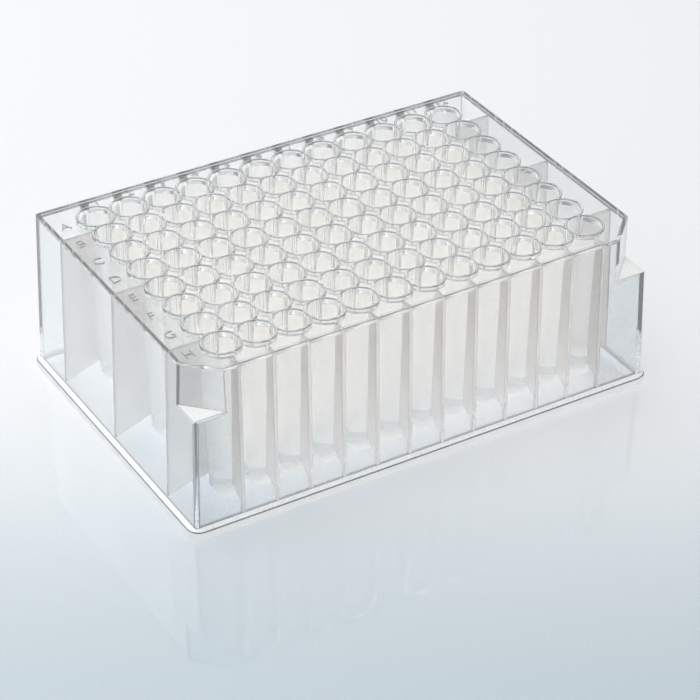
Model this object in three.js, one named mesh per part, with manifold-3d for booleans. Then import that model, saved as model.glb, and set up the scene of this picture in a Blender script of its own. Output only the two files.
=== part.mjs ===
// A 96-well deep-well plate: eight rows by twelve columns of round, round-bottomed wells,
// moulded in one piece of clear plastic with an open underside.
// Millimetres, +Z up. The origin is the centre of the base, on the surface it stands on.
// +X runs from column 1 to column 12, and +Y from row H to row A.

import * as THREE from "three";
import { mergeVertices } from "three/addons/utils/BufferGeometryUtils.js";
import Module from "manifold-3d";

const wasm = await Module();
wasm.setup();

// Well grid
const columns = 12;
const rows = 8;
const pitch = 9;

// Standard microplate footprint, at the base flange
const footprint = { length: 127.76, width: 85.48 };
const footprintCorner = { radius: 3.18, segments: 3 };

// Outer wall: its plan at the flange and at the deck, which is smaller for draft
const wallFoot = { length: 125, width: 82.6 };
const wallHead = { length: 122.8, width: 81 };
const wallCorner = { radius: 0.8, segments: 2 };
const wallThickness = 1.2;

// Heights
const flangeEdgeHeight = 2.2;
const flangeHeight = 2.6;
const skirtPocketHeight = 1.3;
const deckUnderside = 42.1;
const deckTop = 43.2;
const borderTop = 43.5;
const rimTop = 44;
const borderWidth = 0.95;

// The two corners on the row H side are cut off above a ledge
const notchLeg = 7.7;
const ledgeHeight = 31.9;

// Wells: a tapered bore with a round bottom, in a tube that follows it
const boreRadiusTop = 4.25;
const boreRadiusBottom = 3.25;
const tubeRadiusTop = 4.95;
const tubeRadiusBottom = 3.95;
const tubeFloor = 1.9;

// The tubes' number of flat sides, and the share of the radius that the bottom's level facet takes
const roundSides = 8;
const bottomFacet = 0.35;

const ribThickness = 0.9;

// Ribs of the short walls: where they stand, how far in they reach, and their lower edge's rise
const endRibOffsets = [-27, 0, 27];
const endRibReach = 50;
const endRibSlope = 0.36;

// Ribs of the long walls: how far in they reach, the leg down the wall, and the heights of its
// top and of the lower edge at the tube
const sideRibReach = 35.1;
const sideRibLeg = 0.9;
const sideRibLegTop = 5.2;
const sideRibShoulder = 7.8;

// How far a cutting solid runs past the face that it cuts, and a corner wedge past the walls
const overrun = 1;
const wedgeMargin = 4;

const clearPlastic = new THREE.MeshStandardMaterial({
  name: "clear plastic",
  color: 0xdfe6ea,
  roughness: 0.08,
  metalness: 0,
  transparent: true,
  opacity: 0.35,
});

function toSolid(geometry) {
  geometry.deleteAttribute("normal");
  geometry.deleteAttribute("uv");
  const merged = mergeVertices(geometry, 1e-4);
  return new wasm.Manifold(new wasm.Mesh({
    numProp: 3,
    vertProperties: Float32Array.from(merged.attributes.position.array),
    triVerts: Uint32Array.from(merged.index.array),
  }));
}

function toGeometry(solid) {
  const mesh = solid.getMesh();
  const geometry = new THREE.BufferGeometry();
  geometry.setAttribute("position", new THREE.BufferAttribute(mesh.vertProperties, 3));
  geometry.setIndex(new THREE.BufferAttribute(mesh.triVerts, 1));
  geometry.computeVertexNormals();
  return geometry;
}

function joined(solids) {
  return solids.reduce((sum, solid) => sum.add(solid));
}

function shrunk(plan, inset) {
  return { length: plan.length - 2 * inset, width: plan.width - 2 * inset };
}

// The wall's outer plan at a height between the flange and the deck's border
function wallPlanAt(height) {
  const share = (height - flangeHeight) / (borderTop - flangeHeight);
  return {
    length: THREE.MathUtils.lerp(wallFoot.length, wallHead.length, share),
    width: THREE.MathUtils.lerp(wallFoot.width, wallHead.width, share),
  };
}

function roundedRectangle(plan, radius) {
  const x = plan.length / 2 - radius;
  const y = plan.width / 2 - radius;
  const quarter = Math.PI / 2;
  const shape = new THREE.Shape();
  shape.absarc(x, y, radius, 0, quarter);
  shape.absarc(-x, y, radius, quarter, 2 * quarter);
  shape.absarc(-x, -y, radius, 2 * quarter, 3 * quarter);
  shape.absarc(x, -y, radius, 3 * quarter, 4 * quarter);
  return shape;
}

// A block with rounded corners whose plan changes evenly from its foot to its head
function draftedBlock(foot, head, zFoot, zHead, corner) {
  const geometry = new THREE.ExtrudeGeometry(roundedRectangle(foot, corner.radius), {
    depth: zHead - zFoot,
    bevelEnabled: false,
    curveSegments: corner.segments,
  });
  const position = geometry.attributes.position;
  for (let i = 0; i < position.count; i += 1) {
    if (position.getZ(i) > 0) {
      position.setX(i, position.getX(i) * head.length / foot.length);
      position.setY(i, position.getY(i) * head.width / foot.width);
    }
  }
  geometry.translate(0, 0, zFoot);
  return toSolid(geometry);
}

// The two triangular prisms above a height that cut off, or fill, the row H corners.
// Their slanting face lies an inset further in than the notch's own face.
function cornerWedges(inset, zFoot) {
  const reach = notchLeg + inset * Math.SQRT2;
  const x = wallHead.length / 2;
  const y = -wallHead.width / 2;
  return joined([-1, 1].map((side) => {
    const outline = new THREE.Shape([
      new THREE.Vector2(side * (x - reach - wedgeMargin), y - wedgeMargin),
      new THREE.Vector2(side * (x + wedgeMargin), y - wedgeMargin),
      new THREE.Vector2(side * (x + wedgeMargin), y + reach + wedgeMargin),
    ]);
    const geometry = new THREE.ExtrudeGeometry(outline, {
      depth: rimTop + overrun - zFoot,
      bevelEnabled: false,
    });
    geometry.translate(0, 0, zFoot);
    return toSolid(geometry);
  }));
}

// Flange, outer wall, deck and its raised border, hollow and open underneath
function shell() {
  const flange = draftedBlock(footprint, footprint, 0, flangeEdgeHeight, footprintCorner);
  const ledge = draftedBlock(footprint, wallFoot, flangeEdgeHeight, flangeHeight, footprintCorner);
  const wallStart = wallPlanAt(flangeEdgeHeight);
  const wall = draftedBlock(wallStart, wallHead, flangeEdgeHeight, borderTop, wallCorner);
  const outside = flange.add(ledge).add(wall).subtract(cornerWedges(0, ledgeHeight));

  const pocketPlan = shrunk(footprint, wallThickness);
  const pocketCorner = {
    radius: footprintCorner.radius - wallThickness,
    segments: footprintCorner.segments,
  };
  const pocket = draftedBlock(pocketPlan, pocketPlan, -overrun, skirtPocketHeight, pocketCorner);

  const hollowFoot = shrunk(wallPlanAt(0), wallThickness);
  const hollowHead = shrunk(wallPlanAt(deckUnderside), wallThickness);
  const hollow = draftedBlock(hollowFoot, hollowHead, 0, deckUnderside, wallCorner)
    .subtract(cornerWedges(wallThickness, ledgeHeight - wallThickness));

  const recessPlan = shrunk(wallHead, borderWidth);
  const recess = draftedBlock(recessPlan, recessPlan, deckTop, rimTop, wallCorner)
    .subtract(cornerWedges(borderWidth, deckTop - overrun));
  return outside.subtract(pocket).subtract(hollow).subtract(recess);
}

// A many-sided solid that stands for a solid of revolution, with level ends.
// Its flat sides face its neighbours, and its sections have the round one's area.
function faceted(profile) {
  const sector = 2 * Math.PI / roundSides;
  const fullness = Math.sqrt(sector / Math.sin(sector));
  const corners = [];
  for (let side = 0; side < roundSides; side += 1) {
    const angle = (side + 0.5) * sector;
    corners.push(new THREE.Vector2(fullness * Math.cos(angle), fullness * Math.sin(angle)));
  }
  const bands = profile.length - 1;
  const geometry = new THREE.ExtrudeGeometry(new THREE.Shape(corners), {
    depth: bands,
    steps: bands,
    bevelEnabled: false,
  });
  const position = geometry.attributes.position;
  for (let i = 0; i < position.count; i += 1) {
    const [radius, z] = profile[Math.round(position.getZ(i))];
    position.setXYZ(i, position.getX(i) * radius, position.getY(i) * radius, z);
  }
  return geometry;
}

// A straight taper that ends in a round bottom, as [radius, height] pairs from the bottom up.
// The bottom's quarter circle is drawn with a level facet and a slanting one,
// and the taper runs on past the rim.
function wellProfile(radiusBottom, radiusTop, zBottom) {
  const zKnee = zBottom + radiusBottom * (1 - bottomFacet);
  const taper = (radiusTop - radiusBottom) / (rimTop - zKnee);
  return [
    [radiusBottom * bottomFacet, zBottom],
    [radiusBottom, zKnee],
    [radiusTop + taper * overrun, rimTop + overrun],
  ];
}

function atEveryWell(makeGeometry) {
  const solids = [];
  for (let row = 0; row < rows; row += 1) {
    for (let column = 0; column < columns; column += 1) {
      const geometry = makeGeometry();
      geometry.translate(
        (column - (columns - 1) / 2) * pitch,
        ((rows - 1) / 2 - row) * pitch,
        0,
      );
      solids.push(toSolid(geometry));
    }
  }
  return joined(solids);
}

function tubes() {
  const blanks = atEveryWell(() => faceted(
    wellProfile(tubeRadiusBottom, tubeRadiusTop, tubeFloor),
  ));
  const zAbove = rimTop + 2 * overrun;
  const aboveRims = draftedBlock(footprint, footprint, rimTop, zAbove, footprintCorner);
  return blanks.subtract(aboveRims);
}

function bores() {
  const floorThickness = tubeRadiusBottom - boreRadiusBottom;
  return atEveryWell(() => faceted(
    wellProfile(boreRadiusBottom, boreRadiusTop, tubeFloor + floorThickness),
  ));
}

// An upright plate: its outline is given as [distance from the centre, height] pairs,
// and it stands at an offset to one side of the line that its heading points along.
function ribPlate(outline, heading, offset) {
  const shape = new THREE.Shape(outline.map(([u, z]) => new THREE.Vector2(u, z)));
  const geometry = new THREE.ExtrudeGeometry(shape, { depth: ribThickness, bevelEnabled: false });
  geometry.rotateX(Math.PI / 2);
  geometry.translate(0, offset + ribThickness / 2, 0);
  geometry.rotateZ(heading);
  return toSolid(geometry);
}

// Three ribs join each short wall to the end columns' tubes
function endRibs() {
  const head = deckUnderside + wallThickness / 2;
  const outerHead = wallPlanAt(head).length / 2 - wallThickness / 2;
  const outerFoot = wallPlanAt(flangeHeight).length / 2 - wallThickness / 2;
  const outline = [
    [endRibReach, flangeHeight + (outerFoot - endRibReach) * endRibSlope],
    [outerFoot, flangeHeight],
    [outerHead, head],
    [endRibReach, head],
  ];
  return joined([0, Math.PI].flatMap((heading) => (
    endRibOffsets.map((offset) => ribPlate(outline, heading, offset))
  )));
}

// One rib joins each tube of rows A and H to the long wall, with a narrow leg down to the flange
function sideRibs() {
  const head = deckUnderside + wallThickness / 2;
  const outerHead = wallPlanAt(head).width / 2 - wallThickness / 2;
  const outerFoot = wallPlanAt(flangeHeight).width / 2 - wallThickness / 2;
  const legInside = outerFoot - wallThickness / 2 - sideRibLeg;
  const outline = [
    [legInside, skirtPocketHeight],
    [outerFoot, skirtPocketHeight],
    [outerHead, head],
    [sideRibReach, head],
    [sideRibReach, sideRibShoulder],
    [legInside, sideRibLegTop],
  ];
  const ribs = [];
  for (let column = 0; column < columns; column += 1) {
    const offset = (column - (columns - 1) / 2) * pitch;
    ribs.push(ribPlate(outline, Math.PI / 2, -offset));
    ribs.push(ribPlate(outline, -Math.PI / 2, offset));
  }
  return joined(ribs);
}

const plate = shell().add(tubes()).add(endRibs()).add(sideRibs()).subtract(bores());

const wellPlate = new THREE.Mesh(toGeometry(plate), clearPlastic);
wellPlate.name = "well_plate";

const group = new THREE.Group();
group.add(wellPlate);

export default group;
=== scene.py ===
"""A clear deep-well plate standing on a pale, glossy floor.

Everything is in metres, +Z up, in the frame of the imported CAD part: the origin is the centre of the base,
+X runs from column 1 to column 12, and +Y runs from row H to row A.
"""

from contextlib import contextmanager
from functools import partial
import math

import bmesh
import bpy
from mathutils import Matrix, Vector


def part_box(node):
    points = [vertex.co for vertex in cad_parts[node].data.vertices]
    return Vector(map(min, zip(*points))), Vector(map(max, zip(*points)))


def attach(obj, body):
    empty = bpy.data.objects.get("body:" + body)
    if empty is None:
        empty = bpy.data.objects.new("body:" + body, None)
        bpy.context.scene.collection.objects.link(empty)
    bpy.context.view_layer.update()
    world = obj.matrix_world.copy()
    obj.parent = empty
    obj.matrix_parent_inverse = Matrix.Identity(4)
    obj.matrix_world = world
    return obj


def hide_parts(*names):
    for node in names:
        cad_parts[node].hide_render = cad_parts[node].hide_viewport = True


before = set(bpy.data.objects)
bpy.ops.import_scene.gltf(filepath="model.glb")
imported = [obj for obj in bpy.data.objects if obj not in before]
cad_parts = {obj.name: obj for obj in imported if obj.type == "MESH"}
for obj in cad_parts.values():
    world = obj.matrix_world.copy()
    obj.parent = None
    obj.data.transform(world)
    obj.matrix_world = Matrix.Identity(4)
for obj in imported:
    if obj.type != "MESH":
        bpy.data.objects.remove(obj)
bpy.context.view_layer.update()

MM = 0.001
QUARTER_TURN = math.pi / 2
NODE = "well_plate"

base_corner, top_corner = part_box(NODE)
LENGTH = top_corner.x - base_corner.x
WIDTH = top_corner.y - base_corner.y
RIM_TOP = top_corner.z

# Well grid
COLUMNS = 12
ROWS = 8
PITCH = 9 * MM

# Base flange: the top of its upright edge, the top of its ledge at the wall's foot, and its corners
FLANGE_EDGE = 2.2 * MM
FLANGE_TOP = 2.6 * MM
FLANGE_CORNER = 3.18 * MM

# Outer wall: its plan at the foot and at the head, and the wider pocket under it, inside the flange
WALL_FOOT = (125 * MM, 82.6 * MM)
WALL_HEAD = (122.8 * MM, 81 * MM)
WALL_CORNER = 0.5 * MM
WALL_THICKNESS = 1.2 * MM
POCKET_HEIGHT = 1.3 * MM

# Deck and its raised border
DECK_UNDERSIDE = 42.1 * MM
DECK_TOP = 43.2 * MM
BORDER_TOP = 43.5 * MM
BORDER_WIDTH = 0.95 * MM

# Cut corners on the row H side, each above a flat ledge
NOTCH_LEG = 7.7 * MM
LEDGE_HEIGHT = 31.9 * MM

# Wells: radii at the rim and where the round bottom starts, the tubes' lowest point, and the height of the
# round bottoms' centre
BORE_TOP = 4.25 * MM
BORE_BOTTOM = 3.25 * MM
TUBE_TOP = 4.95 * MM
TUBE_BOTTOM = 3.95 * MM
TUBE_FLOOR = 1.9 * MM
ROUND_CENTRE = TUBE_FLOOR + TUBE_BOTTOM

# Below this height a tube is clearer, and tinted grey as painted shade. A white glow is painted on its round
# bottom as painted light, beyond a plane that faces the glow side and lies the glow depth off the round
# centre
TUBE_HAZE_FOOT = 9 * MM
PAINTED_GLOW_SIDE = (-0.288, -0.479, -0.829)
PAINTED_GLOW_DEPTH = 1.5 * MM

# Ribs: those inside the short walls have a slanting foot, those inside the long walls a leg under a shoulder
RIB_THICKNESS = 0.9 * MM
END_RIB_OFFSETS = (-27 * MM, 0, 27 * MM)
END_RIB_REACH = 50 * MM
END_RIB_SLOPE = 0.36
SIDE_RIB_REACH = 35.1 * MM
SIDE_RIB_LEG = 0.9 * MM
SIDE_RIB_LEG_TOP = 5.2 * MM
SIDE_RIB_SHOULDER = 7.8 * MM

# Lettering on the deck. Each number stands to the right of its column's axis
LETTER_HEIGHT = 3.0 * MM
LETTER_RAISE = 0.25 * MM
LETTER_THINNING = 0.07 * MM
LETTER_X = -57.7 * MM
NUMBER_HEIGHT = 2.7 * MM
NUMBER_SHIFT = 3.3 * MM
NUMBER_Y = 38.0 * MM
CAPITAL_SHARE = 0.73

# Roundings. The middle of a well's rounding lies this share of its radius in from both faces
EDGE_ROUNDING = 0.16 * MM
EDGE_STEPS = 2
EDGE_ANGLE = math.radians(30)
FLANGE_EDGE_ROUNDING = 0.3 * MM
FLANGE_EDGE_STEPS = 4
RIM_ROUNDING = 0.15 * MM
RIM_ROUNDING_MIDDLE = 0.3

# Mesh fineness, and how far the cutting tools run past what they cut
ROUND_STEPS = 40
BOTTOM_STEPS = 6
CORNER_STEPS = 4
LETTER_STEPS = 2
SMOOTH_ANGLE = math.radians(35)
MERGE_DISTANCE = 1e-7
OVERRUN = 1 * MM
WEDGE_MARGIN = 4 * MM


# ---------------------------------------------------------------- solids

@contextmanager
def editing(mesh):
    """Opens a mesh for editing, and writes it back afterwards."""
    edit = bmesh.new()
    edit.from_mesh(mesh)
    yield edit
    edit.to_mesh(mesh)
    edit.free()


def mesh_object(name, mesh):
    piece = bpy.data.objects.new(name, mesh)
    bpy.context.scene.collection.objects.link(piece)
    return piece


def solid(name, vertices, faces):
    mesh = bpy.data.meshes.new(name)
    mesh.from_pydata(vertices, [], faces)
    with editing(mesh) as edit:
        bmesh.ops.recalc_face_normals(edit, faces=edit.faces)
    return mesh_object(name, mesh)


def stacked(name, rings):
    """A closed solid through outlines of equal point counts: rings are (outline, height) pairs."""
    count = len(rings[0][0])
    vertices = [(x, y, z) for outline, z in rings for x, y in outline]
    faces = [tuple(range(count))]
    for ring in range(len(rings) - 1):
        for i in range(count):
            j = (i + 1) % count
            low, high = ring * count, (ring + 1) * count
            faces.append((low + i, low + j, high + j, high + i))
    faces.append(tuple(range((len(rings) - 1) * count, len(rings) * count)))
    return solid(name, vertices, faces)


def rounded_rectangle(plan, radius, inset=0.0):
    half_x, half_y = plan[0] / 2 - inset, plan[1] / 2 - inset
    outline = []
    for corner, (side_x, side_y) in enumerate(((1, 1), (-1, 1), (-1, -1), (1, -1))):
        for step in range(CORNER_STEPS + 1):
            angle = QUARTER_TURN * (corner + step / CORNER_STEPS)
            outline.append((
                side_x * (half_x - radius) + radius * math.cos(angle),
                side_y * (half_y - radius) + radius * math.sin(angle),
            ))
    return outline


def wall_plan(height):
    share = (height - FLANGE_TOP) / (BORDER_TOP - FLANGE_TOP)
    return tuple(foot + (head - foot) * share for foot, head in zip(WALL_FOOT, WALL_HEAD))


def shrunk(plan, inset):
    return tuple(side - 2 * inset for side in plan)


def settle(piece):
    """Replaces a piece's mesh by what its modifiers make of it."""
    bpy.context.view_layer.update()
    depsgraph = bpy.context.evaluated_depsgraph_get()
    mesh = bpy.data.meshes.new_from_object(piece.evaluated_get(depsgraph))
    piece.modifiers.clear()
    piece.data = mesh


def cut(piece, tool, operation="DIFFERENCE"):
    """Cuts a tool out of a piece, or joins it on, and deletes the tool."""
    modifier = piece.modifiers.new("cut", "BOOLEAN")
    modifier.solver = "MANIFOLD"
    modifier.operation = operation
    modifier.object = tool
    settle(piece)
    bpy.data.objects.remove(tool)


def cut_corners(piece, inset, bottom):
    """Takes both row H corners off a piece above a height, with the slanting faces an inset further in."""
    reach = NOTCH_LEG + inset * math.sqrt(2)
    x, y = WALL_HEAD[0] / 2, -WALL_HEAD[1] / 2
    for side in (-1, 1):
        outline = [
            (side * (x - reach - WEDGE_MARGIN), y - WEDGE_MARGIN),
            (side * (x + WEDGE_MARGIN), y - WEDGE_MARGIN),
            (side * (x + WEDGE_MARGIN), y + reach + WEDGE_MARGIN),
        ]
        cut(piece, stacked("wedge", [(outline, bottom), (outline, RIM_TOP + OVERRUN)]))


def flange_rounding(plan):
    """Outlines up the rounded outer edge on top of the flange."""
    rings = []
    for step in range(FLANGE_EDGE_STEPS):
        angle = QUARTER_TURN * step / FLANGE_EDGE_STEPS
        inset = FLANGE_EDGE_ROUNDING * (1 - math.cos(angle))
        height = FLANGE_EDGE - FLANGE_EDGE_ROUNDING * (1 - math.sin(angle))
        rings.append((rounded_rectangle(plan, FLANGE_CORNER - inset, inset), height))
    return rings


def make_shell():
    """The flange, the outer walls and the deck, as one hollow solid that is open underneath."""
    flange_plan = (LENGTH, WIDTH)
    shell = stacked("shell", [
        (rounded_rectangle(flange_plan, FLANGE_CORNER), 0),
        *flange_rounding(flange_plan),
        (rounded_rectangle(WALL_FOOT, WALL_CORNER), FLANGE_TOP),
        (rounded_rectangle(WALL_HEAD, WALL_CORNER), BORDER_TOP),
    ])
    cut_corners(shell, 0, LEDGE_HEIGHT)

    pocket_plan = shrunk(flange_plan, WALL_THICKNESS)
    pocket = rounded_rectangle(pocket_plan, FLANGE_CORNER - WALL_THICKNESS)
    cut(shell, stacked("pocket", [(pocket, -OVERRUN), (pocket, POCKET_HEIGHT)]))

    hollow = stacked("hollow", [
        (rounded_rectangle(shrunk(wall_plan(height), WALL_THICKNESS), WALL_CORNER), height)
        for height in (-OVERRUN, DECK_UNDERSIDE)
    ])
    cut_corners(hollow, WALL_THICKNESS, LEDGE_HEIGHT - WALL_THICKNESS)
    cut(shell, hollow)

    inner = rounded_rectangle(shrunk(WALL_HEAD, BORDER_WIDTH), WALL_CORNER)
    recess = stacked("recess", [(inner, DECK_TOP), (inner, RIM_TOP)])
    cut_corners(recess, BORDER_WIDTH, DECK_TOP - OVERRUN)
    cut(shell, recess)

    bevel = shell.modifiers.new("edges", "BEVEL")
    bevel.width = EDGE_ROUNDING
    bevel.segments = EDGE_STEPS
    bevel.limit_method = "ANGLE"
    bevel.angle_limit = EDGE_ANGLE
    settle(shell)
    return shell


def turned(name, profile):
    """A solid of revolution about +Z. Its profile holds (radius, height) pairs, from axis to axis."""
    vertices = [(0, 0, profile[0][1])]
    for radius, z in profile[1:-1]:
        for step in range(ROUND_STEPS):
            angle = 2 * math.pi * step / ROUND_STEPS
            vertices.append((radius * math.cos(angle), radius * math.sin(angle), z))
    vertices.append((0, 0, profile[-1][1]))
    last = len(vertices) - 1
    rings = len(profile) - 2
    top = 1 + (rings - 1) * ROUND_STEPS
    faces = []
    for i in range(ROUND_STEPS):
        j = (i + 1) % ROUND_STEPS
        faces.append((0, 1 + j, 1 + i))
        for ring in range(rings - 1):
            low, high = 1 + ring * ROUND_STEPS, 1 + (ring + 1) * ROUND_STEPS
            faces.append((low + i, low + j, high + j, high + i))
        faces.append((top + i, top + j, last))
    return solid(name, vertices, faces)


def round_bottom(radius):
    """A quarter circle around the round centre, from the axis up, without its last point."""
    angles = [QUARTER_TURN * step / BOTTOM_STEPS for step in range(BOTTOM_STEPS)]
    return [(radius * math.sin(angle), ROUND_CENTRE - radius * math.cos(angle)) for angle in angles]


def rim_rounding(radius, side):
    """A profile's last points below its top, rounded inwards on side -1 and outwards on side 1."""
    near, far = RIM_ROUNDING_MIDDLE * RIM_ROUNDING, RIM_ROUNDING
    return [(radius, RIM_TOP - far), (radius + side * near, RIM_TOP - near), (radius + side * far, RIM_TOP)]


def make_tube():
    """A solid tube under one well, with an edge around the part of its round bottom that gets a painted
    glow.
    """
    haze_share = (TUBE_HAZE_FOOT - ROUND_CENTRE) / (RIM_TOP - RIM_ROUNDING - ROUND_CENTRE)
    tube = turned("tube", [
        *round_bottom(TUBE_BOTTOM),
        (TUBE_BOTTOM, ROUND_CENTRE),
        (TUBE_BOTTOM + (TUBE_TOP - TUBE_BOTTOM) * haze_share, TUBE_HAZE_FOOT),
        *rim_rounding(TUBE_TOP, -1),
        (0, RIM_TOP),
    ])
    side = Vector(PAINTED_GLOW_SIDE)
    with editing(tube.data) as edit:
        bmesh.ops.bisect_plane(
            edit, geom=edit.verts[:] + edit.edges[:] + edit.faces[:], dist=MERGE_DISTANCE,
            plane_co=Vector((0, 0, ROUND_CENTRE)) + side * PAINTED_GLOW_DEPTH, plane_no=side)
    return tube


def make_bore():
    """What is drilled out of one tube."""
    return turned("bore", [
        *round_bottom(BORE_BOTTOM),
        (BORE_BOTTOM, ROUND_CENTRE),
        *rim_rounding(BORE_TOP, 1),
        (BORE_TOP + RIM_ROUNDING, RIM_TOP + OVERRUN),
        (0, RIM_TOP + OVERRUN),
    ])


def rib(outline, heading, offset):
    """An upright plate. Its outline holds (distance from the centre, height) pairs along its heading."""
    half = RIB_THICKNESS / 2
    vertices = [(u, offset - half, z) for u, z in outline] + [(u, offset + half, z) for u, z in outline]
    count = len(outline)
    faces = [tuple(range(count)), tuple(range(count, 2 * count))]
    faces += [(i, (i + 1) % count, (i + 1) % count + count, i + count) for i in range(count)]
    turn = Matrix.Rotation(heading, 3, "Z")
    return solid("rib", [turn @ Vector(v) for v in vertices], faces)


def rib_span(axis):
    """Where a rib's outer edge runs inside the wall, at its foot and at the deck."""
    head_height = (DECK_UNDERSIDE + DECK_TOP) / 2
    foot = wall_plan(FLANGE_TOP)[axis] / 2 - WALL_THICKNESS / 2
    head = wall_plan(head_height)[axis] / 2 - WALL_THICKNESS / 2
    return foot, head, head_height


def end_ribs():
    foot, head, top = rib_span(0)
    outline = [
        (END_RIB_REACH, FLANGE_TOP + (foot - END_RIB_REACH) * END_RIB_SLOPE),
        (foot, FLANGE_TOP),
        (head, top),
        (END_RIB_REACH, top),
    ]
    return [rib(outline, heading, offset) for heading in (0, 2 * QUARTER_TURN) for offset in END_RIB_OFFSETS]


def column_x(column):
    return (column - (COLUMNS - 1) / 2) * PITCH


def side_ribs():
    foot, head, top = rib_span(1)
    leg_inside = foot - WALL_THICKNESS / 2 - SIDE_RIB_LEG
    outline = [
        (leg_inside, POCKET_HEIGHT),
        (foot, POCKET_HEIGHT),
        (head, top),
        (SIDE_RIB_REACH, top),
        (SIDE_RIB_REACH, SIDE_RIB_SHOULDER),
        (leg_inside, SIDE_RIB_LEG_TOP),
    ]
    offsets = [column_x(column) for column in range(COLUMNS)]
    return [rib(outline, heading, offset) for heading in (QUARTER_TURN, -QUARTER_TURN) for offset in offsets]


def letter(text, height, x, y, thinning=0.0):
    """A raised letter or number on the deck, centred at a place."""
    curve = bpy.data.curves.new("letter", "FONT")
    curve.body = text
    curve.size = height / CAPITAL_SHARE
    curve.align_x = "CENTER"
    curve.align_y = "CENTER"
    curve.resolution_u = LETTER_STEPS
    curve.extrude = LETTER_RAISE
    curve.offset = -thinning
    source = bpy.data.objects.new("letter", curve)
    bpy.context.scene.collection.objects.link(source)
    bpy.context.view_layer.update()
    mesh = bpy.data.meshes.new_from_object(source)
    bpy.data.objects.remove(source)
    mesh.transform(Matrix.Translation((x, y, DECK_TOP)))
    with editing(mesh) as edit:
        bmesh.ops.remove_doubles(edit, verts=edit.verts, dist=MERGE_DISTANCE)
        bmesh.ops.recalc_face_normals(edit, faces=edit.faces)
    return mesh_object("letter", mesh)


def lettering():
    letters = []
    for row, name in enumerate("ABCDEFGH"):
        y = ((ROWS - 1) / 2 - row) * PITCH
        letters.append(letter(name, LETTER_HEIGHT, LETTER_X, y, LETTER_THINNING))
    for column in range(COLUMNS):
        letters.append(letter(str(column + 1), NUMBER_HEIGHT, column_x(column) + NUMBER_SHIFT, NUMBER_Y))
    return letters


# ---------------------------------------------------------------- node trees

def set_up(tree, node, inputs):
    """Gives a node's inputs their values, or links them to other nodes' outputs."""
    for name, value in inputs.items():
        if isinstance(value, bpy.types.NodeSocket):
            tree.links.new(value, node.inputs[name])
        else:
            node.inputs[name].default_value = value


def add_node(tree, kind, inputs, **settings):
    node = tree.nodes.new(kind)
    for name, value in settings.items():
        setattr(node, name, value)
    set_up(tree, node, inputs)
    return node


def calculate(tree, operation, *values):
    return add_node(tree, "ShaderNodeMath", dict(enumerate(values)), operation=operation).outputs[0]


def along(tree, place, direction):
    """How far a place lies along a direction."""
    inputs = {0: place, 1: direction}
    return add_node(tree, "ShaderNodeVectorMath", inputs, operation="DOT_PRODUCT").outputs["Value"]


def ramp(tree, value, start, end, low=0.0, high=1.0):
    """Goes smoothly from low to high while a value goes from start to end."""
    inputs = {"Value": value, "From Min": start, "From Max": end, "To Min": low, "To Max": high}
    return add_node(tree, "ShaderNodeMapRange", inputs, interpolation_type="SMOOTHSTEP").outputs["Result"]


def noise(tree, place, scale, detail):
    inputs = {"Vector": place, "Scale": scale, "Detail": detail}
    return add_node(tree, "ShaderNodeTexNoise", inputs).outputs["Fac"]


def blend(tree, share, first, second, kind="MIX"):
    """Mixes two colours by a share."""
    inputs = {"Factor": share, "A": first, "B": second}
    return add_node(tree, "ShaderNodeMix", inputs, data_type="RGBA", blend_type=kind).outputs["Result"]


def scaled(tree, vector, factor):
    inputs = {0: vector, "Scale": factor}
    return add_node(tree, "ShaderNodeVectorMath", inputs, operation="SCALE").outputs[0]


# ---------------------------------------------------------------- plate

def well_grid_tree():
    """Joins a tube at every well position, and then cuts a bore in each."""
    tree = bpy.data.node_groups.new("well_grid", "GeometryNodeTree")
    for name, kind in (("Shell", "Geometry"), ("Tube", "Object"), ("Bore", "Object"), ("Columns", "Int"),
                       ("Rows", "Int"), ("Pitch", "Float"), ("Material", "Material")):
        tree.interface.new_socket(name, in_out="INPUT", socket_type="NodeSocket" + kind)
    tree.interface.new_socket("Plate", in_out="OUTPUT", socket_type="NodeSocketGeometry")
    given = tree.nodes.new("NodeGroupInput")

    grid = tree.nodes.new("GeometryNodeMeshGrid")
    for count, size, vertices in (("Columns", "Size X", "Vertices X"), ("Rows", "Size Y", "Vertices Y")):
        gaps = calculate(tree, "SUBTRACT", given.outputs[count], 1)
        span = calculate(tree, "MULTIPLY", gaps, given.outputs["Pitch"])
        set_up(tree, grid, {size: span, vertices: given.outputs[count]})
    placed = {}
    for name in ("Tube", "Bore"):
        shape = add_node(tree, "GeometryNodeObjectInfo", {"Object": given.outputs[name]})
        placed[name] = add_node(tree, "GeometryNodeInstanceOnPoints", {
            "Points": grid.outputs["Mesh"],
            "Instance": shape.outputs["Geometry"],
        }).outputs["Instances"]

    boolean = partial(add_node, tree, "GeometryNodeMeshBoolean", solver="MANIFOLD")
    join = boolean({"Mesh 2": placed["Tube"]}, operation="UNION")
    set_up(tree, join, {"Mesh 2": given.outputs["Shell"]})
    drill = boolean({"Mesh 1": join.outputs["Mesh"], "Mesh 2": placed["Bore"]}, operation="DIFFERENCE")
    real = add_node(tree, "GeometryNodeRealizeInstances", {"Geometry": drill.outputs["Mesh"]})
    paint = add_node(tree, "GeometryNodeSetMaterial", {
        "Geometry": real.outputs["Geometry"],
        "Material": given.outputs["Material"],
    })
    add_node(tree, "NodeGroupOutput", {"Plate": paint.outputs["Geometry"]})
    return tree


def set_inputs(modifier, **values):
    for item in modifier.node_group.interface.items_tree:
        if item.in_out == "INPUT" and item.name in values:
            modifier[item.identifier] = values[item.name]


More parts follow.
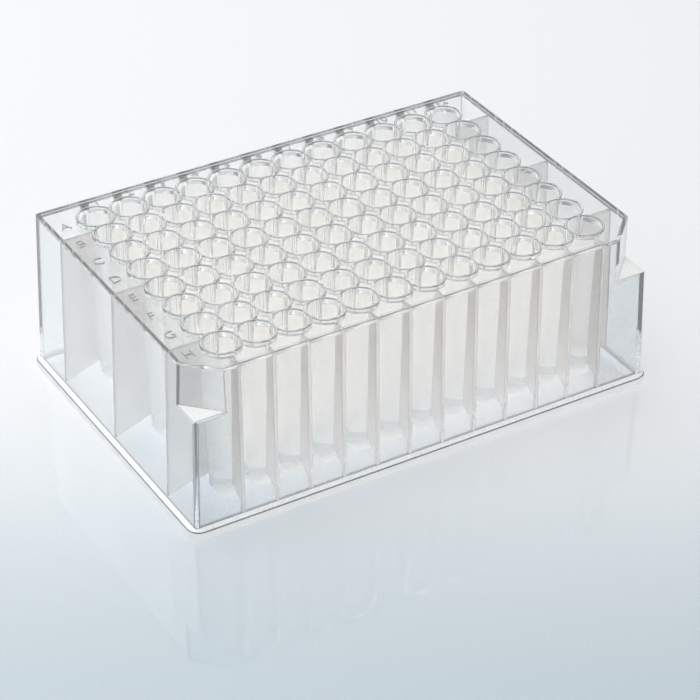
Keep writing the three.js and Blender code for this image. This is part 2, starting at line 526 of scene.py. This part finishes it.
def make_plate(material):
    plate = make_shell()
    for part in end_ribs() + side_ribs() + lettering():
        cut(plate, part, "UNION")
    tube, bore = make_tube(), make_bore()
    modifier = plate.modifiers.new("wells", "NODES")
    modifier.node_group = well_grid_tree()
    set_inputs(modifier, Tube=tube, Bore=bore, Columns=COLUMNS, Rows=ROWS, Pitch=PITCH, Material=material)
    settle(plate)
    for tool in (tube, bore):
        bpy.data.objects.remove(tool)
    plate.name = "deep_well_plate"
    return plate


def finish_edges(piece):
    """Shades the piece smoothly, and keeps its sharp edges sharp."""
    for polygon in piece.data.polygons:
        polygon.use_smooth = True
    piece.data.set_sharp_from_angle(angle=SMOOTH_ANGLE)
    modifier = piece.modifiers.new("normals", "WEIGHTED_NORMAL")
    modifier.keep_sharp = True
    settle(piece)


# ---------------------------------------------------------------- finishes

PLASTIC_IOR = 1.49
SHADOW_TINT = (0.995, 0.995, 0.995, 1)
BUMP_STRENGTH = 0.3

WHITE = (1, 1, 1, 1)
# A cool, darker tint laid over both ends of the walls: painted shade
COOL_END_SHADE = (0.91, 0.93, 0.945, 1)

FINE = 0.3 * MM
MEDIUM = 0.35 * MM
COARSE = 0.5 * MM
BROAD = 0.6 * MM


def finish(roughness, clear, glow, foot, deck=None, end=WHITE, grain=MEDIUM, depth=0.2 * MM, marks=0.0,
           joint_shade=0.0, foot_shade=0.0, rib_shade=0.0):
    """How one kind of surface looks.

    Clear and glow are the shares of light that pass clear and that glow through. Foot, deck and end are
    tints: at the foot, under the deck and, laid over those, at both ends of the plate. Where the deck and
    end tints are darker than the foot, they are painted shade. Grain and depth are the grain's size and
    depth, and marks is the depth of the upright draw marks. The shades are painted shade: they say how much
    darker it gets where a rib joins the wall, in a line at the wall's foot, and above the back row's ribs.
    """
    return {
        "Clear": clear,
        "Glow": glow,
        "Roughness": roughness,
        "Foot Colour": foot,
        "Under Deck Shade": deck or foot,
        "End Shade Colour": end,
        "Grain Size": grain,
        "Grain Depth": depth,
        "Mark Depth": marks,
        "Joint Shade": joint_shade,
        "Foot Shade": foot_shade,
        "Rib Shade": rib_shade,
    }


rib_finish = partial(finish, 0.20, 0.74, 0.07, depth=0.3 * MM, joint_shade=0.5)

SURFACES = {
    "wall": finish(
        0.04, 0.96, 0.0, (0.99, 0.995, 1, 1), end=COOL_END_SHADE, grain=FINE, depth=0.1 * MM, foot_shade=0.6),
    "deck": finish(0.06, 0.86, 0.03, (0.96, 0.975, 0.985, 1), rib_shade=0.65),
    # The letters' grey tint is painted shade: raised clear letters show grey by refraction
    "letter": finish(0.15, 0.40, 0.0, (0.40, 0.44, 0.48, 1)),
    "ledge": finish(0.10, 0.15, 0.0, (0.98, 0.99, 1, 1)),
    "flange": finish(0.08, 0.0, 0.6, WHITE),
    # The near-black tint on rounded edges is painted shade: the dark lines that refraction draws along clear
    # edges
    "edge": finish(0.08, 0.95, 0.0, (0.05, 0.08, 0.10, 1), (0.10, 0.15, 0.18, 1), grain=COARSE),
    "bore": finish(0.06, 0.97, 0.01, (0.965, 0.98, 0.99, 1), grain=BROAD, marks=0.5 * MM),
    "bore_end": finish(0.08, 0.92, 0.08, (0.97, 0.98, 0.98, 1), grain=BROAD),
    # The tubes' tint darkens towards the deck and turns blue-grey at the ends: painted shade
    "tube": finish(
        0.14, 0.78, 0.18, (0.99, 0.98, 0.965, 1), (0.98, 0.96, 0.935, 1), end=(0.70, 0.745, 0.78, 1),
        depth=0.3 * MM, marks=0.5 * MM),
    # The grey tint just above the round bottom is painted shade
    "tube_foot_painted_shade": finish(
        0.08, 0.90, 0.05, (0.79, 0.795, 0.795, 1), end=(0.80, 0.84, 0.87, 1), depth=0.3 * MM),
    # A white glow on the side of each round bottom away from the light: painted light
    "tube_end_painted_glow": finish(0.20, 0.0, 0.95, WHITE),
    # The ribs are tinted greyer than the tubes, darker towards the deck and, on the front ribs, at the ends:
    # painted shade. The back ribs' near-black tint under the deck is painted shade at the back edge.
    "rib": rib_finish((0.85, 0.84, 0.83, 1), (0.60, 0.575, 0.545, 1), end=(0.4, 0.39, 0.38, 1)),
    "back_rib": rib_finish((0.86, 0.86, 0.86, 1), (0.25, 0.28, 0.31, 1)),
    "end_rib": rib_finish((0.80, 0.79, 0.775, 1), (0.75, 0.74, 0.725, 1)),
}

# Where the painted shade at the ends sets in, as a distance from the middle of the plate
END_SHADE_FROM = 44 * MM
END_SHADE_TO = 60 * MM

# The painted shade lines where the ribs join the wall and at the wall's foot
JOINT_WIDTH = 0.4 * MM
FOOT_LINE = 0.25 * MM

# The shade above the back row's ribs: it starts beside the rims, widens to the right and fades at its sides
RIB_SHADE_FROM = 36.2 * MM
RIB_SHADE_START = 0.3 * MM
RIB_SHADE_SPREAD = 0.22
RIB_SHADE_CORE = 0.4 * RIB_THICKNESS
RIB_SHADE_EDGE = 0.7 * RIB_THICKNESS
LAST_RIB_FADE = 0.1 * PITCH

# Grain, draw marks and patches
GRAIN_SHADE = 0.7
GRAIN_DETAIL = 2
MARK_SIZE = 0.9 * MM
MARK_STRETCH = 40
PATCH_SIZE = 9 * MM
PATCH_ROUGHNESS = 0.25
SOFT_DETAIL = 1


def at_rib_joint(tree, x, y, z):
    """Rises to 1 where a rib joins the inner face of the wall."""
    calc = partial(calculate, tree)
    past = []
    for value, wall_foot, wall_head in zip((x, y), WALL_FOOT, WALL_HEAD):
        foot, head = wall_foot / 2 - WALL_THICKNESS, wall_head / 2 - WALL_THICKNESS
        lean = (head - foot) / (BORDER_TOP - FLANGE_TOP)
        inner_face = calc("ADD", calc("MULTIPLY", z, lean), foot - lean * FLANGE_TOP)
        past.append(calc("SUBTRACT", calc("ABSOLUTE", value), inner_face))
    return ramp(tree, calc("MAXIMUM", *past), -JOINT_WIDTH, 0)


def above_back_rib(tree, x, y):
    """Is 1 on the deck above the back row's ribs."""
    calc = partial(calculate, tree)
    beside_rib = calc("WRAP", calc("SUBTRACT", x, PITCH / 2), PITCH / 2, -PITCH / 2)
    past_rim = calc("MAXIMUM", calc("SUBTRACT", y, RIB_SHADE_FROM), 0)
    spread = calc("MULTIPLY", past_rim, RIB_SHADE_SPREAD)
    off_rib = calc("SUBTRACT", calc("ABSOLUTE", calc("SUBTRACT", beside_rib, spread)), spread)
    on_rib = calc("SUBTRACT", 1, ramp(tree, off_rib, RIB_SHADE_CORE, RIB_SHADE_EDGE))
    started = ramp(tree, past_rim, 0, RIB_SHADE_START)
    last = COLUMNS / 2 * PITCH
    past_last = ramp(tree, calc("ABSOLUTE", x), last - LAST_RIB_FADE, last)
    return calc("MULTIPLY", calc("MULTIPLY", on_rib, started), calc("SUBTRACT", 1, past_last))


def moulded_surface():
    """Shader group: tints and painted shade, fine grain, upright draw marks and broad patches of duller
    surface.
    """
    tree = bpy.data.node_groups.new("moulded_surface", "ShaderNodeTree")
    for name in ("Foot Colour", "Under Deck Shade", "End Shade Colour"):
        tree.interface.new_socket(name, in_out="INPUT", socket_type="NodeSocketColor")
    for name in ("Roughness", "Grain Size", "Grain Depth", "Mark Depth",
                 "Joint Shade", "Foot Shade", "Rib Shade"):
        tree.interface.new_socket(name, in_out="INPUT", socket_type="NodeSocketFloat")
    tree.interface.new_socket("Colour", in_out="OUTPUT", socket_type="NodeSocketColor")
    for name in ("Roughness", "Height"):
        tree.interface.new_socket(name, in_out="OUTPUT", socket_type="NodeSocketFloat")
    given = tree.nodes.new("NodeGroupInput")
    place = tree.nodes.new("ShaderNodeTexCoord").outputs["Object"]
    apart = add_node(tree, "ShaderNodeSeparateXYZ", {0: place})
    x, y, z = (apart.outputs[axis] for axis in "XYZ")
    calc = partial(calculate, tree)

    grain = noise(tree, place, calc("DIVIDE", 1, given.outputs["Grain Size"]), GRAIN_DETAIL)
    patches = noise(tree, place, 1 / PATCH_SIZE, SOFT_DETAIL)
    upright = {0: place, 1: (1, 1, 1 / MARK_STRETCH)}
    stretched = add_node(tree, "ShaderNodeVectorMath", upright, operation="MULTIPLY")
    marks = noise(tree, stretched.outputs[0], 1 / MARK_SIZE, SOFT_DETAIL)

    # The tint darkens towards the deck where a finish says so: painted shade under the deck
    up = ramp(tree, z, 0, DECK_UNDERSIDE)
    tint = blend(tree, up, given.outputs["Foot Colour"], given.outputs["Under Deck Shade"])
    # Darker, cooler tints towards both ends: painted shade
    in_end_shade = ramp(tree, calc("ABSOLUTE", x), END_SHADE_FROM, END_SHADE_TO)
    tint = blend(tree, in_end_shade, tint, given.outputs["End Shade Colour"], "MULTIPLY")

    shade = calc("SUBTRACT", 1 + GRAIN_SHADE / 2, calc("MULTIPLY", grain, GRAIN_SHADE))
    at_foot = calc("SUBTRACT", 1, ramp(tree, z, FLANGE_TOP, FLANGE_TOP + FOOT_LINE))
    for where, name in (
        (above_back_rib(tree, x, y), "Rib Shade"),
        (at_foot, "Foot Shade"),
        (at_rib_joint(tree, x, y, z), "Joint Shade"),
    ):
        shade = calc("SUBTRACT", shade, calc("MULTIPLY", where, given.outputs[name]))

    dull = calc("ADD", calc("MULTIPLY", patches, PATCH_ROUGHNESS), 1 - PATCH_ROUGHNESS / 2)
    grain_height = calc("MULTIPLY", grain, given.outputs["Grain Depth"])
    mark_height = calc("MULTIPLY", marks, given.outputs["Mark Depth"])
    add_node(tree, "NodeGroupOutput", {
        "Colour": scaled(tree, tint, shade),
        "Roughness": calc("MULTIPLY", given.outputs["Roughness"], dull),
        "Height": calc("ADD", grain_height, mark_height),
    })
    return tree


def plastic(name, values, texture):
    """A moulded plastic that lets the rays that look for shadows through, so that its shadow stays light."""
    material = bpy.data.materials.new(name)
    material.use_nodes = True
    tree = material.node_tree
    surface = add_node(tree, "ShaderNodeGroup", {}, node_tree=texture)
    for socket in surface.inputs:
        socket.default_value = values[socket.name]
    bump = add_node(tree, "ShaderNodeBump", {"Strength": BUMP_STRENGTH, "Height": surface.outputs["Height"]})
    body = tree.nodes["Principled BSDF"]
    set_up(tree, body, {
        "Base Color": surface.outputs["Colour"],
        "Roughness": surface.outputs["Roughness"],
        "IOR": PLASTIC_IOR,
        "Transmission Weight": values["Clear"],
        "Normal": bump.outputs["Normal"],
    })
    haze = add_node(tree, "ShaderNodeBsdfTranslucent", {"Color": values["Foot Colour"]})
    hazy = add_node(tree, "ShaderNodeMixShader", {
        "Fac": values["Glow"],
        1: body.outputs["BSDF"],
        2: haze.outputs["BSDF"],
    })
    rays = tree.nodes.new("ShaderNodeLightPath")
    passed = add_node(tree, "ShaderNodeBsdfTransparent", {"Color": SHADOW_TINT})
    whole = add_node(tree, "ShaderNodeMixShader", {
        "Fac": rays.outputs["Is Shadow Ray"],
        1: hazy.outputs["Shader"],
        2: passed.outputs["BSDF"],
    })
    set_up(tree, tree.nodes["Material Output"], {"Surface": whole.outputs["Shader"]})
    return material


# ---------------------------------------------------------------- which face has which finish

# How far off a round or a flat surface a face's centre may lie, and how far under the deck its faces reach
NEAR_ROUND = 0.05 * MM
NEAR_FLAT = 0.02 * MM
DECK_ZONE = 0.5 * MM

# The lettering's faces lie above this height over the deck, and this far in from the walls' outer faces
LETTER_FOOT = 0.1 * MM
LETTER_MARGIN = 1.2 * BORDER_WIDTH

# How much of a face's normal lies along an axis, at least: for a level face, a flat one, one that looks
# squarely, mostly or slightly along the axis, and the flange's ledge, which is steepest at its corners
LEVEL = 0.995
FLAT = 0.99
SQUARELY = 0.9
MOSTLY = 0.5
SLIGHTLY = 0.1
LEDGE_FLATNESS = 0.84

# The cut corners' upright edges lie this near the ends, and those by the short walls look mostly along X
NOTCH_REACH = 1.2 * NOTCH_LEG
NOTCH_EDGE_LEAN = 0.05


def from_nearest_axis(x, y):
    """Offsets from the nearest well's axis."""
    offsets = []
    for value, count in ((x, COLUMNS), (y, ROWS)):
        middle = (count - 1) / 2
        place = min(max(round(value / PITCH + middle), 0), count - 1)
        offsets.append(value - (place - middle) * PITCH)
    return offsets


def radius_at(z, bottom, top):
    """Radius at a height of a bore or tube with the given radii at its round bottom and at the rim."""
    return bottom + (top - bottom) * max(z - ROUND_CENTRE, 0) / (RIM_TOP - ROUND_CENTRE)


def on_painted_glow(x, y, z):
    """Whether a point is on the part of a tube's round bottom that gets the painted glow."""
    from_centre = Vector((*from_nearest_axis(x, y), z - ROUND_CENTRE))
    return from_centre.dot(Vector(PAINTED_GLOW_SIDE)) > PAINTED_GLOW_DEPTH


def behind_outer_wall(x, y, z, depth):
    """Whether a point is more than a depth behind the outer faces of the walls and the cut corners."""
    half_x, half_y = (side / 2 - depth for side in wall_plan(z))
    corner = (WALL_HEAD[0] + WALL_HEAD[1]) / 2 - NOTCH_LEG - depth * math.sqrt(2)
    below_ledge = z < LEDGE_HEIGHT - 1.5 * WALL_THICKNESS
    return abs(x) < half_x and abs(y) < half_y and (abs(x) - y < corner or below_ledge)


def on_shell_edge(point, normal):
    """Whether a face outside on the shell belongs to a rounded edge."""
    along_x, along_y, along_z = (abs(part) for part in normal)
    on_flange_ledge = along_z > LEDGE_FLATNESS and FLANGE_EDGE < point.z < FLANGE_TOP
    inside = point.z < DECK_TOP - DECK_ZONE and behind_outer_wall(*point, WALL_THICKNESS / 2)
    if along_z > LEVEL or on_flange_ledge or point.z < FLANGE_EDGE / 2 or inside:
        return False
    if along_z > SLIGHTLY:
        return True
    beside_notch = point.y < 0 and point.z > LEDGE_HEIGHT and abs(point.x) > WALL_HEAD[0] / 2 - NOTCH_REACH
    return beside_notch and max(along_x, along_y) < FLAT and along_x > along_y + NOTCH_EDGE_LEAN


def shell_surface(point, normal):
    """The kind of surface that a face of the shell belongs to."""
    if on_shell_edge(point, normal):
        return "edge"
    if point.z < FLANGE_TOP - NEAR_FLAT:
        return "ledge" if normal.z > MOSTLY else "flange"
    if abs(normal.z) > MOSTLY:
        return "deck" if point.z > DECK_UNDERSIDE - DECK_ZONE else "ledge"
    return "wall"


def rib_surface(point, normal):
    """The kind of surface that a face of a rib belongs to."""
    if abs(point.x) > END_RIB_REACH and abs(point.y) < SIDE_RIB_REACH:
        return "end_rib" if abs(normal.y) > SQUARELY else "edge"
    if abs(normal.x) < SQUARELY and point.z > SIDE_RIB_SHOULDER:
        return "edge"
    return "back_rib" if point.y > 0 else "rib"


def surface_at(point, normal):
    """The kind of surface that a face of the plate belongs to."""
    x, y, z = point
    distance = math.hypot(*from_nearest_axis(x, y))
    if z > RIM_TOP - RIM_ROUNDING and normal.z < FLAT:
        return "edge"
    if distance < radius_at(z, BORE_BOTTOM, BORE_TOP) + NEAR_ROUND:
        if z > ROUND_CENTRE:
            return "bore"
        if math.hypot(distance, z - ROUND_CENTRE) < BORE_BOTTOM + NEAR_ROUND:
            return "bore_end"
    if distance < TUBE_TOP + NEAR_ROUND and z > DECK_TOP + NEAR_ROUND:
        return "wall"
    half_x, half_y = (side / 2 - LETTER_MARGIN for side in WALL_HEAD)
    if z > DECK_TOP + LETTER_FOOT and abs(x) < half_x and abs(y) < half_y:
        return "letter"
    if z > DECK_UNDERSIDE - NEAR_FLAT or not behind_outer_wall(x, y, z, WALL_THICKNESS + NEAR_FLAT):
        return shell_surface(point, normal)
    if distance < radius_at(z, TUBE_BOTTOM, TUBE_TOP) + NEAR_ROUND:
        if z > TUBE_HAZE_FOOT:
            return "tube"
        # The round bottom's far side gets the painted glow, the rest of the foot the painted grey shade
        return "tube_end_painted_glow" if on_painted_glow(x, y, z) else "tube_foot_painted_shade"
    return rib_surface(point, normal)


def finish_surfaces(piece, finishes):
    """Gives each face of the plate the finish of the surface that it belongs to."""
    piece.data.materials.clear()
    for material in finishes.values():
        piece.data.materials.append(material)
    order = list(finishes)
    for polygon in piece.data.polygons:
        polygon.material_index = order.index(surface_at(polygon.center, polygon.normal))


# ---------------------------------------------------------------- studio

# The floor's colour darkens towards the front over the ramp, and to the right by the fall for each metre:
# painted shade
FLOOR_HALF = 3.0
FLOOR_ROUGHNESS = 0.02
FLOOR_SPECULAR = 1.0
FLOOR_NEAR_SHADED = (0.55, 0.645, 0.71, 1)
FLOOR_FAR = (0.93, 0.95, 0.98, 1)
FLOOR_AHEAD = (0.5145, 0.8575, 0)
FLOOR_SHADE_RAMP = (-0.13, 0.02)
FLOOR_SIDEWAYS = (0.8575, -0.5145, 0)
FLOOR_SHADE_FALL = -0.35
FLOOR_SHADE_FALL_FROM = -0.085
FLOOR_GRAIN_SIZE = 0.5 * MM
FLOOR_GRAIN_SHADE = 0.16


def floor_finish():
    """A glossy board whose colour darkens softly towards the front and the right as painted shade, with fine
    grain.
    """
    material = bpy.data.materials.new("pale_floor")
    material.use_nodes = True
    tree = material.node_tree
    place = tree.nodes.new("ShaderNodeTexCoord").outputs["Object"]
    ahead = ramp(tree, along(tree, place, FLOOR_AHEAD), *FLOOR_SHADE_RAMP)
    grain = noise(tree, place, 1 / FLOOR_GRAIN_SIZE, GRAIN_DETAIL)
    level = 1 - FLOOR_SHADE_FALL * FLOOR_SHADE_FALL_FROM + FLOOR_GRAIN_SHADE / 2
    fall = calculate(tree, "MULTIPLY_ADD", along(tree, place, FLOOR_SIDEWAYS), FLOOR_SHADE_FALL, level)
    shade = calculate(tree, "MULTIPLY_ADD", grain, -FLOOR_GRAIN_SHADE, fall)
    set_up(tree, tree.nodes["Principled BSDF"], {
        "Base Color": scaled(tree, blend(tree, ahead, FLOOR_NEAR_SHADED, FLOOR_FAR), shade),
        "Roughness": FLOOR_ROUGHNESS,
        "Specular IOR Level": FLOOR_SPECULAR,
    })
    return material


def make_floor():
    corners = [(x * FLOOR_HALF, y * FLOOR_HALF, 0) for x, y in ((-1, -1), (1, -1), (1, 1), (-1, 1))]
    floor = solid("floor", corners, [(0, 1, 2, 3)])
    floor.data.materials.append(floor_finish())


# The dome's strength at the horizon and high up, how much brighter it is on its bright side, and the patch
WORLD_COLOUR = (1.0, 0.995, 0.985, 1)
WORLD_LOW = 1.05
WORLD_HIGH = 0.5
WORLD_RISE = (-0.05, 0.9)
WORLD_LEAN = 0.65
WORLD_BRIGHT_SIDE = (-0.8, 0.5, 0.0)
PATCH_STRENGTH = 1.4
PATCH_SIDE = (-0.2, 0.3, 0.93)
PATCH_EDGE = 0.65


def make_world():
    """A dome that is brighter at the horizon and on the left, with a soft bright patch nearly overhead."""
    world = bpy.data.worlds.new("studio")
    bpy.context.scene.world = world
    world.use_nodes = True
    tree = world.node_tree
    calc = partial(calculate, tree)
    direction = tree.nodes.new("ShaderNodeTexCoord").outputs["Generated"]
    height = ramp(tree, along(tree, direction, (0, 0, 1)), *WORLD_RISE, WORLD_LOW, WORLD_HIGH)
    lean = along(tree, direction, Vector(WORLD_BRIGHT_SIDE).normalized() * WORLD_LEAN)
    towards_patch = along(tree, direction, Vector(PATCH_SIDE).normalized())
    patch = ramp(tree, towards_patch, PATCH_EDGE, 1, 0, PATCH_STRENGTH)
    set_up(tree, tree.nodes["Background"], {
        "Color": WORLD_COLOUR,
        "Strength": calc("ADD", calc("MULTIPLY", height, calc("ADD", lean, 1)), patch),
    })


CAMERA_PLACE = (-279.8 * MM, -471.2 * MM, 377.4 * MM)
CAMERA_HEADING = math.radians(30.978)
CAMERA_PITCH = math.radians(-34.094)
CAMERA_ROLL = math.radians(0.279)
CAMERA_NEAR = 10 * MM

# The lens and its sensor, in the millimetres that Blender's cameras are set in
LENS = 137.2937
SENSOR_WIDTH = 36


def make_camera():
    data = bpy.data.cameras.new("camera")
    data.sensor_fit = "HORIZONTAL"
    data.sensor_width = SENSOR_WIDTH
    data.lens = LENS
    data.clip_start = CAMERA_NEAR
    camera = bpy.data.objects.new("camera", data)
    bpy.context.scene.collection.objects.link(camera)
    aim = (Matrix.Rotation(-CAMERA_HEADING, 4, "Z")
           @ Matrix.Rotation(QUARTER_TURN + CAMERA_PITCH, 4, "X")
           @ Matrix.Rotation(CAMERA_ROLL, 4, "Z"))
    camera.matrix_world = Matrix.Translation(CAMERA_PLACE) @ aim
    bpy.context.scene.camera = camera


# How often light may go through, bounce off or pass straight through the many clear walls
LIGHT_BOUNCES = 24
GLOSSY_BOUNCES = 8
STRAIGHT_PASSES = 64

make_camera()
make_world()
make_floor()
texture = moulded_surface()
finishes = {name: plastic("clear_plastic_" + name, values, texture) for name, values in SURFACES.items()}
plate = make_plate(finishes["wall"])
finish_surfaces(plate, finishes)
finish_edges(plate)
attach(plate, "root")
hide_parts(NODE)

scene = bpy.context.scene
scene.view_settings.view_transform = "Standard"
scene.cycles.max_bounces = LIGHT_BOUNCES
scene.cycles.glossy_bounces = GLOSSY_BOUNCES
scene.cycles.transmission_bounces = LIGHT_BOUNCES
scene.cycles.transparent_max_bounces = STRAIGHT_PASSES
